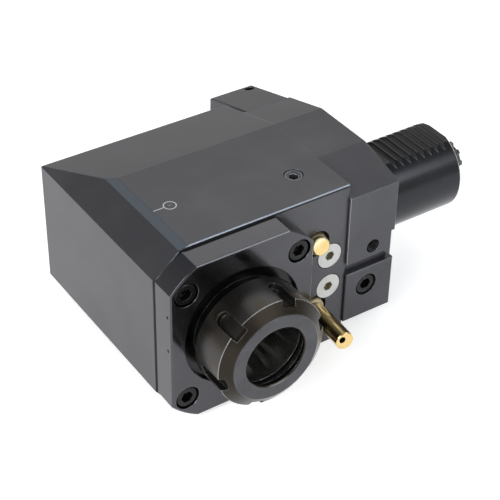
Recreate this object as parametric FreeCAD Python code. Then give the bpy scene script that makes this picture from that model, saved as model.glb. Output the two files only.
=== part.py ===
import FreeCAD, Part
import math
import os

# Driven tool holder, radial type: a serrated round shank carries a housing with two shafts at
# right angles. Millimetres. The origin is on the shank axis in the flange's locating face.
# +X runs out along the shank, -Y is the side the collet nut faces, +Z is up.

V = FreeCAD.Vector
X, Y, Z = V(1, 0, 0), V(0, 1, 0), V(0, 0, 1)

# Shank
shankRadius = 20.0
shankLength = 55.0
toothCrest = 17.9            # height of the toothed flat above the axis
toothDepth = 2.1
toothPitch = 4.0
toothCount = 8
toothStart = 22.0            # middle of the first groove, from the locating face
toothFloor = 0.7             # flat width at a groove's bottom
toothTop = 1.0               # flat width on a tooth's crest
shankBore = 11.0             # radius of the long bore round the drive shaft
shankEndChamfer = 1.2
toothRunIn = 3.0             # the flat starts this far before the first groove

# Flange behind the shank
flangeThickness = 25.4
flangeFront = 39.8           # from the axis to the side face below the nut side
flangeBack = 40.3
flangeTop = 40.0
flangeBottom = 32.4
topFlatFront = 15.0          # where the top's flat ends, towards the nut side
topFlatBack = 16.0
slopeAngle = 15.5            # fall of the sloped tops, degrees
reliefDepth = 2.1            # the lower part of the locating face stands back by this
reliefTop = 8.3
edgeChamfer = 0.5
groovePlay = 5.5             # height of the dark groove above the front block
grooveDeep = 2.6
grooveEnd = 5.7              # the groove's top stops this far from the locating face
grooveSlant = 1.0            # fall of its end for each millimetre towards that face

# Housing
housingLength = 93.6
housingFront = 38.5
housingBack = 56.0
housingBottom = 40.5
endChamferRun = 11.5         # along X, from the end face
endChamferRise = 10.3
stripRun = 4.3               # second, nearly flat chamfer
stripRise = 0.9
stripStep = 0.25
frontEdgeChamfer = 1.5       # the end face's upright edge beside the cover

# Spindle line
spindleDistance = 85.0       # from the locating face to the spindle axis
spindleSeat = 17.5           # radius under the front bearings
tailSeat = 10.0              # radius under the gear and the tail bearing
noseRadius = 20.0            # thread size of the nose, drawn plain
noseFront = 66.0             # end of the nose from the shank axis
noseBack = 52.0              # shoulder behind the nose thread
coneMouth = 16.6             # radius of the collet cone at its mouth
coneHalfAngle = 8.0
coneLength = 32.0
reliefBore = 11.0
reliefBoreLength = 5.0
noseChamfer = 1.0
threadRelief = 1.2           # depth and run of the undercut behind the nose thread
threadReliefRun = 2.0
tailChamfer = 0.8

# Bearings: bore radius, outer radius, width
frontBearing = (spindleSeat, 27.5, 10.0)
gearBearing = (10.0, 23.5, 14.0)        # its outer size is the flange's spigot too
tailBearing = (tailSeat, 21.0, 12.0)
shankBearing = (8.5, 15.0, 7.0)
tailBearingFront = 26.0      # behind the shafts' crossing
raceWall = 0.32              # share of a bearing's wall that each ring takes
shieldGap = 0.35
ballSpaceDepth = 1.2
shieldThickness = 0.5

# Cover plate round the spindle
coverThickness = 11.5
coverHalfWidth = 33.7
coverHalfHeight = 38.5
coverCornerRadius = 44.2
nutGap = 2.4                 # open groove round the nut
coverBoreDepth = 4.0
labyrinthGap = 0.5
labyrinthWall = 1.7          # the turning ring's hub past the nose's radius
labyrinthSink = 2.4          # the turning ring lies this far below the cover's face
screwSpacing = 26.5          # cover screws, each way from the spindle axis
coverSealSection = 1.19
coverSealOut = 2.4           # seal's middle past the bearing
coverSealGroove = 1.6        # width of the seal's groove; it is 1.2 deep
coverSealDepth = 1.2
coverScrewSink = 0.5         # screw heads lie this far below the cover's face
coverHoleRadius = 0.75       # two small holes in the cover's side
coverHoleHeights = (17.0, 0.0)
coverHoleInset = 2.6
coverHoleDepth = 1.5

# Socket screws: shank radius, head radius, head height, hexagon across flats
m6 = (3.0, 5.0, 6.0, 5.0)
m4 = (2.0, 3.5, 4.0, 3.0)
screwClearance = 0.3
headClearance = 0.5
headChamfer = 0.5
socketFloor = 0.45           # share of a head's height below its socket

# Collet nut
nutShell = 5.0               # wall of the nut outside the nose thread
nutFront = 73.7
nutBack = 52.6
nutThreadPlay = 0.05
nutMouthChamfer = 0.6
nutMouthLand = 1.0
nutPocketPlay = 0.4          # round the clamping ring
nutOpeningStep = 1.5         # the nut's opening is this much smaller than the ring's bore
nutChamferRun = 5.3          # the flat face's rim lies this far inside the barrel
nutChamferDepth = 3.6
nutWall = 3.4                # wall in front of the clamping ring
nutSlots = 6
nutSlotWidth = 6.4
nutSlotDepth = 2.7
nutSlotBack = 58.2
nutSlotPhase = 12.5
nutBackChamfer = 1.0
slotOver = 2.0               # slot cutters reach this far past the barrel
clampRingLength = 3.0
clampRingProud = 0.4         # the ring's radius past the nose thread
clampRingWall = 4.7          # from the ring's bore to the nose thread
clampRingPlay = 0.3          # in front of the ring and behind it
clampRingTaper = 1.7

# Bevel gears
gearTeeth = 20
gearModule = 2.0
gearFace = 9.0
gearBacklash = 0.22          # taken off each tooth, half on each flank
gearPressure = 20.0
gearRoot = 2.5               # depth of the tooth spaces below pitch
gearWeb = 0.2                # the gear's body rises this far over the tooth roots
flankPoints = 6
gearHubBack = 4.6            # from the pitch circle to the back of the hub
gearChamber = 25.0           # the gear space ends this far behind the shafts' crossing
keyWidth = 5.0
keyHeight = 5.0
keyInset = 2.0               # keyway to each end of the gear
keyPlay = 0.2

# Drive shaft
drivePinionSeat = 8.0
driveNutRadius = 14.5
driveNutLength = 5.0
driveProtrusion = 11.0       # splined end beyond the shank
splineRoot = 7.0
splineTeeth = 9
splineToothWidth = 3.0
splineLength = 16.0
splineChamfer = 1.0
splineSink = 0.8             # teeth start below the root so that they fuse with it
splineTip = 0.1              # tooth tips lie this far below the shaft's surface
circlipWidth = 1.2
circlipDepth = 0.7
circlipReach = 2.4           # the ring reaches this far into the bore
circlipGap = 3.0             # half the opening between its ends
sealInset = 2.0              # shaft seal to the shank's end
sealGap = 1.5                # bearing to shaft seal, room for the retaining ring
sealPlay = 0.05
sealCasing = 1.4
sealWeb = 1.0
sealLip = 1.7
spigotWall = 4.0
spacerWall = 1.6
tailNutRadius = 15.0
tailNutLength = 5.0
lockSlotHalf = 2.0           # half width and depth of a lock nut's slots
lockNutPlay = 0.5            # between the drive shaft's lock nut and its shoulder
nutRoom = 2.0                # spigot bore past the lock nut
tailOver = 1.0               # spindle end past its lock nut
pinionSetback = 0.6          # shaft end behind the pinion's face
pinionScrewHead = 9.0
pinionScrewPlate = 1.6
pinionScrewStem = 2.0
pinionScrewGrip = 10.0
pinionScrewHex = 3.0

# Coolant nozzles: a ball in a seat ring, held by the cone of a countersunk screw
nozzleDistance = 40.9        # from the locating face
nozzleMiddle = -1.45         # height half-way between the two nozzles
nozzleOffset = 17.05
nozzleSink = 1.2             # ball centre below the housing's front
ballRadius = 5.0
tubeRadius = 4.0
pocketRadius = 6.4
pocketDepth = 8.8
ballPlay = 0.1
ballFlat = 4.25              # flat on the ball's inner side, from its middle
seatLip = 1.4                # front of the seat ring behind the ball's middle
channelRadius = 2.5
channelDepth = 15.0
nozzleBore = 1.45
nozzleBoreOffset = 1.6
nozzleRim = 0.4
longTube = 29.2              # ball centre to the cut end
longTilt = 9.7               # from square to the housing's front
longSwing = 143.0            # way the tilt points, about the spindle's direction, from +X up
shortTube = 5.6
shortTilt = 18.0
shortSwing = 118.0
clampInset = 7.0             # clamp screws lie this much nearer the locating face
clampOffset = 8.1
clampScrewHead = 5.95
clampScrewLand = 0.7
clampScrewLength = 12.0
clampHex = 4.0
clampGap = 0.45
clampHoleOver = 0.5          # thread hole past the screw's end

# Plugs and small fittings
plugLength = 8.0
topPlugRadius = 4.2
topPlugHex = 4.0
topPlugSocket = 4.2          # socket depth
topPlugSink = 0.3
topPlugEdge = 0.5            # chamfer round the plug
topPlugMouth = 3.2           # radius of the cone round its hexagon
topPlugMouthDepth = 0.7
topPlugStep = 1.2            # the hole below the plug is this much smaller
topPlugHole = 14.0
topPlugPlace = (-41.1, -20.3)
threadCore = 3.4             # core radius of the threaded hole in the flange
threadHoleDepth = 14.0
threadHolePlace = (-11.85, 3.8)
inletRadius = 4.0
inletPlace = (29.5, -13.0)
inletDepth = 9.0
inletStep = 1.5              # the bore behind the bush is this much smaller
inletStepDepth = 8.0
inletWall = 1.6
inletSink = 0.2
sealSection = 2.2
sealMiddle = 24.5
sealDepth = 2.1
sealRoom = 0.4               # groove beside the seal, each side
sealLand = 2.0               # full-height face left round the seal

# Alignment blocks on the flange
frontBlockTop = -6.5
frontBlockProud = 0.2
frontBlockDepth = 8.8
blockPlay = 0.1
frontBlockScrew = (-14.2, -15.9)
blockScrewSink = 0.6
blockScrewGrip = 14.0
rearBlockInset = 1.2         # from each end of the flange's thickness
rearBlockReach = 30.0
rearBlockBottom = 2.0
rearBlockHole = 2.4
rearHoleInset = (1.4, 1.6)   # metal beside the hole, along X and Y
rearScrewHeights = (9.0, 20.0)
rearScrewSeat = 8.0          # block under a screw's head
rearScrewGrip = 8.0          # thread in the flange
rearScrewRoom = 10.0
flangeScrewPlaces = ((26.0, 23.0), (-26.0, 23.0), (24.5, -24.0), (-24.5, -24.0))
flangeScrewGrip = 10.0
flangeScrewSink = 1.0
threadEndPlay = 0.5          # thread holes run this far past their screws
dowelRadius = 2.5
dowelPlaces = ((33.0, 4.0), (-27.4, -1.4))
dowelHalf = 8.0
dowelPlay = 0.5              # at each end of a dowel

# Rear cap behind the spindle
capRadius = 27.0
capPlay = 0.05
capThickness = 4.5
capSpigotWall = 3.0
capScrewCircle = 24.0
capScrew = (1.5, 2.8, 1.3, 2.0)
capScrewDepth = 9.0
capOuterChamfer = 0.6
capScrewLand = 0.2

# Cutting tools run past the faces they cut by this, or by the longer one through open space
over = 1.0
far = 60.0

# Places that follow from the sizes above
flangeLeft = -flangeThickness
housingLeft = flangeLeft - housingLength
spindleX = -spindleDistance
housingTop = flangeTop
driveShaftRadius = shankBearing[0]
spigotRadius = gearBearing[1]
nutRadius = noseRadius + nutShell
nutFaceRing = nutRadius - nutChamferRun
nutSlotFloor = nutRadius - nutSlotDepth
clampRingOuter = noseRadius + clampRingProud
clampRingInner = noseRadius - clampRingWall
nutOpening = clampRingInner - nutOpeningStep
coverBore = nutRadius + nutGap
coverSealMiddle = frontBearing[1] + coverSealOut
labyrinthHub = noseRadius + labyrinthWall
clampDistance = nozzleDistance - clampInset
coverFace = -(housingFront + coverThickness)
pitchRadius = gearTeeth * gearModule / 2
coneDistance = pitchRadius * math.sqrt(2)    # along the pitch cone, from the shafts' crossing
innerPitchRadius = (coneDistance - gearFace) / math.sqrt(2)
gearHubFace = pitchRadius + gearHubBack
gearFrontFace = (pitchRadius + (gearRoot - gearWeb) * math.sqrt(0.5)) * innerPitchRadius / pitchRadius
frontStackEnd = -gearHubFace - 2 * frontBearing[2]
coverRecess = -frontStackEnd - housingFront      # depth of the seat for the first bearing
driveStackEnd = spindleX + gearHubFace + 2 * gearBearing[2]
toothedFrom = toothStart - toothPitch / 2 - toothRunIn
sealWidth = shankBearing[2]
shankSeatStart = shankLength - sealInset - sealWidth - sealGap - shankBearing[2]
slope = math.tan(math.radians(slopeAngle))
cone = math.tan(math.radians(coneHalfAngle))


def box(x0, x1, y0, y1, z0, z1):
    return Part.makeBox(x1 - x0, y1 - y0, z1 - z0, V(x0, y0, z0))


def rod(radius, start, direction, length):
    return Part.makeCylinder(radius, length, start, direction)


def tube(outer, inner, start, direction, length):
    return rod(outer, start, direction, length).cut(rod(inner, start, direction, length))


def prism(points, along):
    wire = Part.makePolygon([V(*p) for p in points] + [V(*points[0])])
    return Part.Face(wire).extrude(along)


def hexPrism(flats, start, direction, length):
    # A hexagon across flats, standing on start and running along direction
    side = X if abs(direction.x) < 0.5 else Y
    up = direction.cross(side)
    corner = flats / math.sqrt(3)
    points = []
    for i in range(6):
        angle = math.radians(60 * i)
        points.append(start + side * (corner * math.cos(angle)) + up * (corner * math.sin(angle)))
    return Part.Face(Part.makePolygon(points + [points[0]])).extrude(direction * length)


def turned(profile, centre, direction):
    # Turn (distance along the axis, radius) points about an axis through centre
    side = Z if abs(direction.z) < 0.5 else X
    points = [centre + direction * along + side * radius for along, radius in profile]
    face = Part.Face(Part.makePolygon(points + [points[0]]))
    return face.revolve(centre, direction, 360)


def torus(middle, section, centre, direction):
    return Part.makeTorus(middle, section / 2, centre, direction)


def save(name, *solids, seamless=True):
    pieces = []
    for shape in solids:
        pieces.extend(shape.removeSplitter().Solids if seamless else shape.Solids)
    shape = pieces[0] if len(pieces) == 1 else Part.makeCompound(pieces)
    shape.exportStep(os.path.join("parts", name + ".step"))
    print(name, len(pieces), "solid(s), valid", shape.isValid(), round(shape.Volume, 1))


def socketScrew(size, underHead, direction, grip):
    # Direction points out of the head; underHead is the middle of the head's seat
    shankR, headR, headH, flats = size
    head = rod(headR, underHead, direction, headH)
    edge = [e for e in head.Edges if abs((e.CenterOfMass - underHead).dot(direction) - headH) < 1e-6]
    head = head.makeChamfer(headChamfer, [e for e in edge if len(e.Vertexes) == 1])
    head = head.cut(hexPrism(flats, underHead + direction * (headH * socketFloor), direction, headH))
    stem = rod(shankR, underHead - direction * grip, direction, grip)
    return head.fuse(stem)


def bearing(size, start, direction, count):
    # Outer rings, inner rings and shields of bearings set side by side from start
    inner, outer, width = size
    wall = (outer - inner) * raceWall
    innerTop, outerLow = inner + wall, outer - wall
    outers, inners, shields = [], [], []
    for i in range(count):
        place = start + direction * (width * i)
        outers.append(tube(outer, outerLow, place, direction, width))
        inners.append(tube(innerTop, inner, place, direction, width))
        for offset in (ballSpaceDepth, width - ballSpaceDepth - shieldThickness):
            at = place + direction * offset
            shields.append(tube(outerLow, innerTop + shieldGap, at, direction, shieldThickness))
    return outers, inners, shields


def bevelEnd(scale, height):
    # A point on the gear's end cone, as (distance along the axis, radius); height is above pitch
    lean = height * math.sqrt(0.5)
    return (pitchRadius - lean) * scale, (pitchRadius + lean) * scale


def toothFlank():
    # Half of a tooth's section on the end cone, as (height above pitch, half width): an involute of
    # the flattened end cone, from the root circle to the tip
    rolled = pitchRadius * math.sqrt(2)
    base = rolled * math.cos(math.radians(gearPressure))
    half = (math.pi * gearModule / 2 - gearBacklash) / (2 * rolled)

    def involute(radius):
        angle = math.acos(min(1.0, base / radius))
        return math.tan(angle) - angle

    points = []
    low = rolled - gearRoot
    high = rolled + gearModule
    for i in range(flankPoints):
        radius = low + (high - low) * i / (flankPoints - 1)
        turn = half + involute(rolled) - involute(max(radius, base))
        points.append((radius * math.cos(turn) - rolled, radius * math.sin(turn)))
    return points


def bevelGear(direction, toMate, bore, phase):
    # Straight bevel gear about the point where the shafts cross. The axis runs from there along
    # direction; toMate is the way from the axis to the other gear.
    apex = V(spindleX, 0, 0)
    side = direction.cross(toMate)
    small = innerPitchRadius / pitchRadius
    outerRoot = bevelEnd(1.0, gearWeb - gearRoot)
    innerRoot = bevelEnd(small, gearWeb - gearRoot)
    profile = [(innerRoot[0], bore), innerRoot, outerRoot, (gearHubFace, outerRoot[1]), (gearHubFace, bore)]
    body = turned(profile, apex, direction)
    flank = toothFlank()
    section = [(height, -half) for height, half in flank] + list(reversed(flank))
    teeth = []
    for i in range(gearTeeth):
        angle = 2 * math.pi * (i + phase) / gearTeeth
        radial = toMate * math.cos(angle) + side * math.sin(angle)
        tangent = side * math.cos(angle) - toMate * math.sin(angle)
        wires = []
        for scale in (1.0, small):
            points = []
            for height, half in section:
                along, radius = bevelEnd(scale, height)
                points.append(apex + direction * along + radial * radius + tangent * (half * scale))
            wires.append(Part.makePolygon(points + [points[0]]))
        teeth.append(Part.makeLoft(wires, True, True))
    return body.fuse(teeth).cut(keySolid(direction, toMate, bore, 0.0))


def keySolid(direction, toMate, bore, play):
    # Key, or its keyway where play is 0, half in the shaft and half in the gear
    side = direction.cross(toMate)
    front, back = gearFrontFace + keyInset + play, gearHubFace - keyInset - play
    low = V(spindleX, 0, 0) + direction * front + side * (bore - keyHeight / 2) - toMate * (keyWidth / 2)
    corners = [low, low + toMate * keyWidth, low + toMate * keyWidth + side * keyHeight,
               low + side * keyHeight, low]
    return Part.Face(Part.makePolygon(corners)).extrude(direction * (back - front))


def makeFlangeProfile():
    # The flange's outline across the shank axis, from below the nut side round to the back
    frontLow = flangeTop - (flangeFront - topFlatFront) * slope
    backLow = flangeTop - (flangeBack - topFlatBack) * slope
    return [(-flangeFront, -flangeBottom), (-flangeFront, frontLow), (-topFlatFront, flangeTop),
            (topFlatBack, flangeTop), (flangeBack, backLow), (flangeBack, -flangeBottom)]


def makeShankTeeth():
    # The saw profile above the groove floors, as one cutting tool along Y
    start, end = toothedFrom, shankLength + over
    points = [(start, toothCrest)]
    for i in range(toothCount):
        middle = toothStart + toothPitch * i
        points.append((middle - (toothPitch - toothTop) / 2, toothCrest))
        points.append((middle - toothFloor / 2, toothCrest - toothDepth))
        points.append((middle + toothFloor / 2, toothCrest - toothDepth))
        points.append((middle + (toothPitch - toothTop) / 2, toothCrest))
    wide = shankRadius + over
    points.extend([(end, toothCrest), (end, wide), (start, wide)])
    return prism([(x, -wide, z) for x, z in points], V(0, 2 * wide, 0))


def frontBlockRoom(play):
    inside = -flangeFront + frontBlockDepth - frontBlockProud + play
    return box(flangeLeft - over, over, -far, inside, -far, frontBlockTop + play)


def makeShankFlange():
    profile = makeFlangeProfile()
    body = prism([(flangeLeft, y, z) for y, z in profile], V(flangeThickness, 0, 0))
    rightEdges = []
    for edge in body.Edges:
        ends = [v.Point for v in edge.Vertexes]
        onRight = all(abs(p.x) < 1e-6 for p in ends)
        if onRight and not all(abs(p.z + flangeBottom) < 1e-6 for p in ends):
            rightEdges.append(edge)
    body = body.makeChamfer(edgeChamfer, rightEdges)
    relief = box(-reliefDepth, over, -far, far, -far, reliefTop)
    land = rod(sealMiddle + sealSection + sealLand, V(-reliefDepth, 0, 0), X, reliefDepth + over)
    body = body.cut(relief.cut(land))
    body = body.fuse(rod(shankRadius, V(-over, 0, 0), X, toothedFrom + over))
    spigot = rod(spigotRadius, V(driveStackEnd, 0, 0), X, flangeLeft - driveStackEnd)
    body = body.fuse(spigot)
    body = cutFlangeHoles(cutFlangeFront(cutShankBores(body)))
    # The seam where the teeth begin stays, so that the plain stretch is a full round wall by itself
    save("shank_flange", body.removeSplitter().fuse(makeToothedShank()), seamless=False)


def makeToothedShank():
    shank = rod(shankRadius, V(toothedFrom, 0, 0), X, shankLength - toothedFrom)
    rim = [e for e in shank.Edges if e.CenterOfMass.x > shankLength - 1e-6]
    shank = shank.makeChamfer(shankEndChamfer, [e for e in rim if len(e.Vertexes) == 1])
    return cutShankBores(shank.cut(makeShankTeeth()))


def cutShankBores(body):
    # The long bore with the bearing seat, the retaining ring's groove and the lock nut's room
    _, outer, width = shankBearing
    body = body.cut(rod(shankBore, V(driveStackEnd - over, 0, 0), X, shankLength + far))
    body = body.cut(rod(outer, V(shankSeatStart, 0, 0), X, shankLength))
    body = body.cut(rod(outer + circlipDepth, V(shankSeatStart + width, 0, 0), X, circlipWidth))
    return body.cut(rod(spigotRadius - spigotWall, V(driveStackEnd - over, 0, 0), X,
                        driveNutLength + nutRoom + over))


def cutFlangeFront(body):
    # Seat of the front block, the dark groove above it and the threaded hole over that
    body = body.cut(frontBlockRoom(0.0))
    left, right, outside = flangeLeft - over, -reliefDepth + over, -flangeFront - over
    low, high = frontBlockTop, frontBlockTop + groovePlay
    end = high - (grooveEnd + right) * grooveSlant
    groove = [(left, outside, low), (left, outside, high), (-grooveEnd, outside, high),
              (right, outside, end), (right, outside, low)]
    body = body.cut(prism(groove, V(0, grooveDeep + over, 0)))
    x, z = threadHolePlace
    return body.cut(rod(threadCore, V(x, -flangeFront - over, z), Y, threadHoleDepth + over))


def cutFlangeHoles(body):
    sealStart = V(-sealDepth - sealPlay, 0, 0)
    half = sealSection / 2 + sealRoom
    body = body.cut(tube(sealMiddle + half, sealMiddle - half, sealStart, X, sealDepth + over))
    for y, z in flangeScrewPlaces:
        body = body.cut(rod(m6[1] + headClearance, V(-m6[2] - flangeScrewSink, y, z), X, far))
        body = body.cut(rod(m6[0] + screwClearance, V(flangeLeft - over, y, z), X, flangeThickness + over))
    for y, z in dowelPlaces:
        body = body.cut(rod(dowelRadius, V(flangeLeft - over, y, z), X, dowelHalf + over))
    y, z = inletPlace
    body = body.cut(rod(inletRadius, V(-inletDepth, y, z), X, inletDepth + over))
    step = V(-inletDepth - inletStepDepth, y, z)
    body = body.cut(rod(inletRadius - inletStep, step, X, inletStepDepth + over))
    x, z = frontBlockScrew
    deep = m6[2] + blockScrewSink + blockScrewGrip + threadEndPlay
    body = body.cut(rod(m6[0], V(x, -flangeFront - frontBlockProud, z), Y, deep))
    for z in rearScrewHeights:
        start = V(-flangeThickness / 2, flangeBack - rearScrewRoom, z)
        body = body.cut(rod(m4[0], start, Y, rearScrewRoom + over))
    return body


def makeFrontBlock():
    block = box(flangeLeft + blockPlay, -blockPlay, -flangeFront - frontBlockProud,
                -flangeFront + frontBlockDepth - frontBlockProud - blockPlay, -flangeBottom,
                frontBlockTop - blockPlay)
    outside = -flangeFront - frontBlockProud
    edges = [e for e in block.Edges if all(abs(v.Point.y - outside) < 1e-6 for v in e.Vertexes)]
    block = block.makeChamfer(edgeChamfer, edges)
    x, z = frontBlockScrew
    seat = V(x, outside + m6[2] + blockScrewSink, z)
    block = block.cut(rod(m6[1] + headClearance, seat, -Y, far))
    block = block.cut(rod(m6[0] + screwClearance, V(x, outside, z), Y, far))
    save("front_alignment_block", block)
    save("front_block_screw", socketScrew(m6, seat, -Y, blockScrewGrip))


def makeRearBlock():
    left = flangeLeft + rearBlockInset
    right = -rearBlockInset
    front = flangeBack + blockPlay
    back = front + rearBlockReach
    topFront = flangeTop - (front - topFlatBack) * slope
    topBack = flangeTop - (back - topFlatBack) * slope
    profile = [(front, rearBlockBottom), (front, topFront), (back, topBack), (back, rearBlockBottom)]
    block = prism([(left, y, z) for y, z in profile], V(right - left, 0, 0))
    topEdges = []
    for edge in block.Edges:
        ends = [v.Point for v in edge.Vertexes]
        if all(p.z > rearBlockBottom + over for p in ends):
            topEdges.append(edge)
    block = block.makeChamfer(edgeChamfer, topEdges)
    holeX, holeY = right - rearBlockHole - rearHoleInset[0], back - rearBlockHole - rearHoleInset[1]
    block = block.cut(rod(rearBlockHole, V(holeX, holeY, rearBlockBottom - over), Z, far))
    screws = []
    middle = (left + right) / 2
    for z in rearScrewHeights:
        seat = V(middle, front + rearScrewSeat, z)
        block = block.cut(rod(m4[1] + headClearance, seat, Y, far))
        block = block.cut(rod(m4[0] + screwClearance, V(middle, front - over, z), Y, far))
        screws.append(socketScrew(m4, seat, Y, rearScrewSeat + blockPlay + rearScrewGrip))
    save("rear_alignment_block", block)
    save("rear_block_screws", *screws)


def makeHousing():
    left, right = housingLeft, flangeLeft
    top, bottom = housingTop, -housingBottom
    chamferTop = top - stripRise - stripStep
    outline = [(left, bottom + endChamferRise + stripRise), (left, chamferTop - endChamferRise),
               (left + endChamferRun, chamferTop), (left + endChamferRun + stripRun, top - stripStep),
               (left + endChamferRun + stripRun, top), (right, top), (right, bottom),
               (left + endChamferRun, bottom)]
    depth = housingFront + housingBack
    body = prism([(x, -housingFront, z) for x, z in outline], V(0, depth, 0))
    wide = right - left + 2 * over
    fall = (housingBack + over - topFlatBack) * slope
    backOff = [(left - over, topFlatBack, top), (left - over, housingBack + over, top - fall),
               (left - over, housingBack + over, top + over), (left - over, topFlatBack, top + over)]
    body = body.cut(prism(backOff, V(wide, 0, 0)))
    run = frontEdgeChamfer + over
    corner = [(left - over, -housingFront - over, bottom - over),
              (left + run, -housingFront - over, bottom - over),
              (left - over, -housingFront + run, bottom - over)]
    body = body.cut(prism(corner, V(0, 0, top - bottom + 2 * over)))
    body = cutHousingHoles(cutHousingBores(body))
    longTop = []
    for edge in body.Edges:
        ends = [v.Point for v in edge.Vertexes]
        if len(ends) == 2 and all(abs(p.z - top) < 1e-6 and abs(p.y + housingFront) < 1e-6 for p in ends):
            longTop.append(edge)
    body = body.makeChamfer(edgeChamfer, longTop)
    save("housing", body)


def cutHousingBores(body):
    # Both shafts' bores, the gear space where they meet and the rear cap's seat
    crossing = V(spindleX, 0, 0)
    body = body.cut(rod(tailBearing[1], crossing, Y, housingBack + over))
    gearSpace = rod(gearBearing[1], crossing - Y * (gearHubFace + over), Y, gearHubFace + gearChamber + over)
    body = body.cut(gearSpace)
    body = body.cut(rod(frontBearing[1], crossing - Y * gearHubFace, -Y, far))
    body = body.cut(rod(gearBearing[1], crossing, X, spindleDistance))
    return body.cut(rod(capRadius, V(spindleX, housingBack - capThickness, 0), Y, capThickness + over))


def cutHousingHoles(body):
    for place in capScrewAxes():
        body = body.cut(rod(capScrew[0], place - Y * capScrewDepth, Y, capScrewDepth + over))
    for place in coverScrewAxes(-housingFront):
        body = body.cut(rod(m6[0], place, Y, flangeScrewGrip))
    deep = flangeScrewGrip + threadEndPlay
    for y, z in flangeScrewPlaces:
        body = body.cut(rod(m6[0], V(flangeLeft - deep, y, z), X, deep + over))
    for y, z in dowelPlaces:
        body = body.cut(rod(dowelRadius, V(flangeLeft - dowelHalf, y, z), X, dowelHalf + over))
    room = clampScrewHead + clampGap
    deep = clampScrewLength + clampHoleOver
    seat = [(-over, 0.0), (-over, room), (clampScrewLand, room), (clampScrewLand + room - m6[0], m6[0]),
            (deep, m6[0]), (deep, 0.0)]
    for sign in (1, -1):
        ball = nozzlePlace(sign)
        mouth = V(ball.x, -housingFront - over, ball.z)
        body = body.cut(rod(pocketRadius, mouth, Y, pocketDepth + over))
        body = body.cut(rod(channelRadius, mouth, Y, channelDepth + over))
        body = body.cut(turned(seat, clampPlace(sign), Y))
    x, y = topPlugPlace
    body = body.cut(rod(topPlugRadius, V(x, y, housingTop - plugLength), Z, plugLength + over))
    return body.cut(rod(topPlugRadius - topPlugStep, V(x, y, housingTop - topPlugHole), Z, topPlugHole))


def makeCover():
    left, right = spindleX - coverHalfWidth, spindleX + coverHalfWidth
    plate = box(left, right, coverFace, -housingFront, -coverHalfHeight, coverHalfHeight)
    disc = rod(coverCornerRadius, V(spindleX, coverFace, 0), Y, coverThickness)
    plate = plate.common(disc)
    edges = []
    for edge in plate.Edges:
        if all(abs(v.Point.y - coverFace) < 1e-6 for v in edge.Vertexes):
            edges.append(edge)
    plate = plate.makeChamfer(edgeChamfer, edges)
    centre = V(spindleX, coverFace, 0)
    plate = plate.cut(rod(coverBore, centre, Y, coverBoreDepth))
    plate = plate.cut(rod(labyrinthHub + labyrinthGap, centre, Y, coverThickness))
    plate = plate.cut(rod(frontBearing[1], V(spindleX, -housingFront - coverRecess, 0), Y, far))
    outer, inner = coverSealMiddle + coverSealGroove / 2, coverSealMiddle - coverSealGroove / 2
    groove = V(spindleX, -housingFront - coverSealDepth, 0)
    plate = plate.cut(tube(outer, inner, groove, Y, coverSealDepth + over))
    screws = []
    sunk = m6[2] + coverScrewSink
    for seat in coverScrewAxes(coverFace + sunk):
        plate = plate.cut(rod(m6[1] + headClearance, seat, -Y, far))
        plate = plate.cut(rod(m6[0] + screwClearance, seat, Y, far))
        screws.append(socketScrew(m6, seat, -Y, coverThickness - sunk + flangeScrewGrip - threadEndPlay))
    for z in coverHoleHeights:
        start = V(left - over, coverFace + coverHoleInset, z)
        plate = plate.cut(rod(coverHoleRadius, start, X, coverHoleDepth + over))
    save("spindle_cover", plate)
    save("cover_screws", *screws)
    save("cover_seal", torus(coverSealMiddle, coverSealSection, groove + Y * (coverSealDepth / 2), Y))


def makeSpindle():
    # Distances run from the shank axis towards the nose
    centre = V(spindleX, 0, 0)
    nose = -Y
    mouth = coneMouth
    coneEnd = mouth - coneLength * cone
    stackEnd = -frontStackEnd
    tail = -tailEnd()
    coneFloor = noseFront - coneLength
    boreEnd = coneFloor - reliefBoreLength
    profile = [(noseFront - noseChamfer, noseRadius), (noseFront, noseRadius - noseChamfer),
               (noseFront, mouth), (coneFloor, coneEnd), (coneFloor, reliefBore), (boreEnd, reliefBore),
               (boreEnd, 0.0), (tail, 0.0), (tail, tailSeat - tailChamfer), (tail + tailChamfer, tailSeat),
               (gearHubFace, tailSeat), (gearHubFace, spindleSeat), (noseBack, spindleSeat),
               (noseBack, noseRadius - threadRelief), (noseBack + threadReliefRun, noseRadius - threadRelief),
               (noseBack + threadReliefRun, noseRadius)]
    spindle = turned(profile, centre, nose)
    spindle = spindle.cut(keySolid(-Y, X, tailSeat, 0.0))
    save("spindle", spindle)
    save("spindle_gear", bevelGear(-Y, X, tailSeat, 0.5))
    save("spindle_key", keySolid(-Y, X, tailSeat, keyPlay))
    hubLow, hubHigh = stackEnd, noseBack
    ringOuter = coverBore - labyrinthGap
    ringFace = -coverFace - labyrinthSink
    ringBack = -coverFace - coverBoreDepth + labyrinthGap
    labyrinth = [(hubLow, spindleSeat), (hubHigh, spindleSeat), (hubHigh, labyrinthHub),
                 (ringFace, labyrinthHub), (ringFace, ringOuter), (ringBack, ringOuter),
                 (ringBack, labyrinthHub), (hubLow, labyrinthHub)]
    save("labyrinth_ring", turned(labyrinth, centre, nose))
    outers, inners, shields = bearing(frontBearing, V(spindleX, -gearHubFace, 0), -Y, 2)
    save("spindle_bearing_outer_rings", *outers)
    save("spindle_bearing_inner_rings", *inners)
    save("spindle_bearing_shields", *shields)
    outers, inners, shields = bearing(tailBearing, V(spindleX, tailBearingFront, 0), Y, 1)
    save("tail_bearing_outer_ring", *outers)
    save("tail_bearing_inner_ring", *inners)
    save("tail_bearing_shields", *shields)
    save("spindle_spacer", tube(tailSeat + spacerWall, tailSeat, V(spindleX, -gearFrontFace, 0), Y,
                                tailBearingFront + gearFrontFace))
    start = V(spindleX, tailNutStart(), 0)
    save("spindle_lock_nut", lockNut(tailNutRadius, tailSeat, start, Y, tailNutLength))


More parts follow.
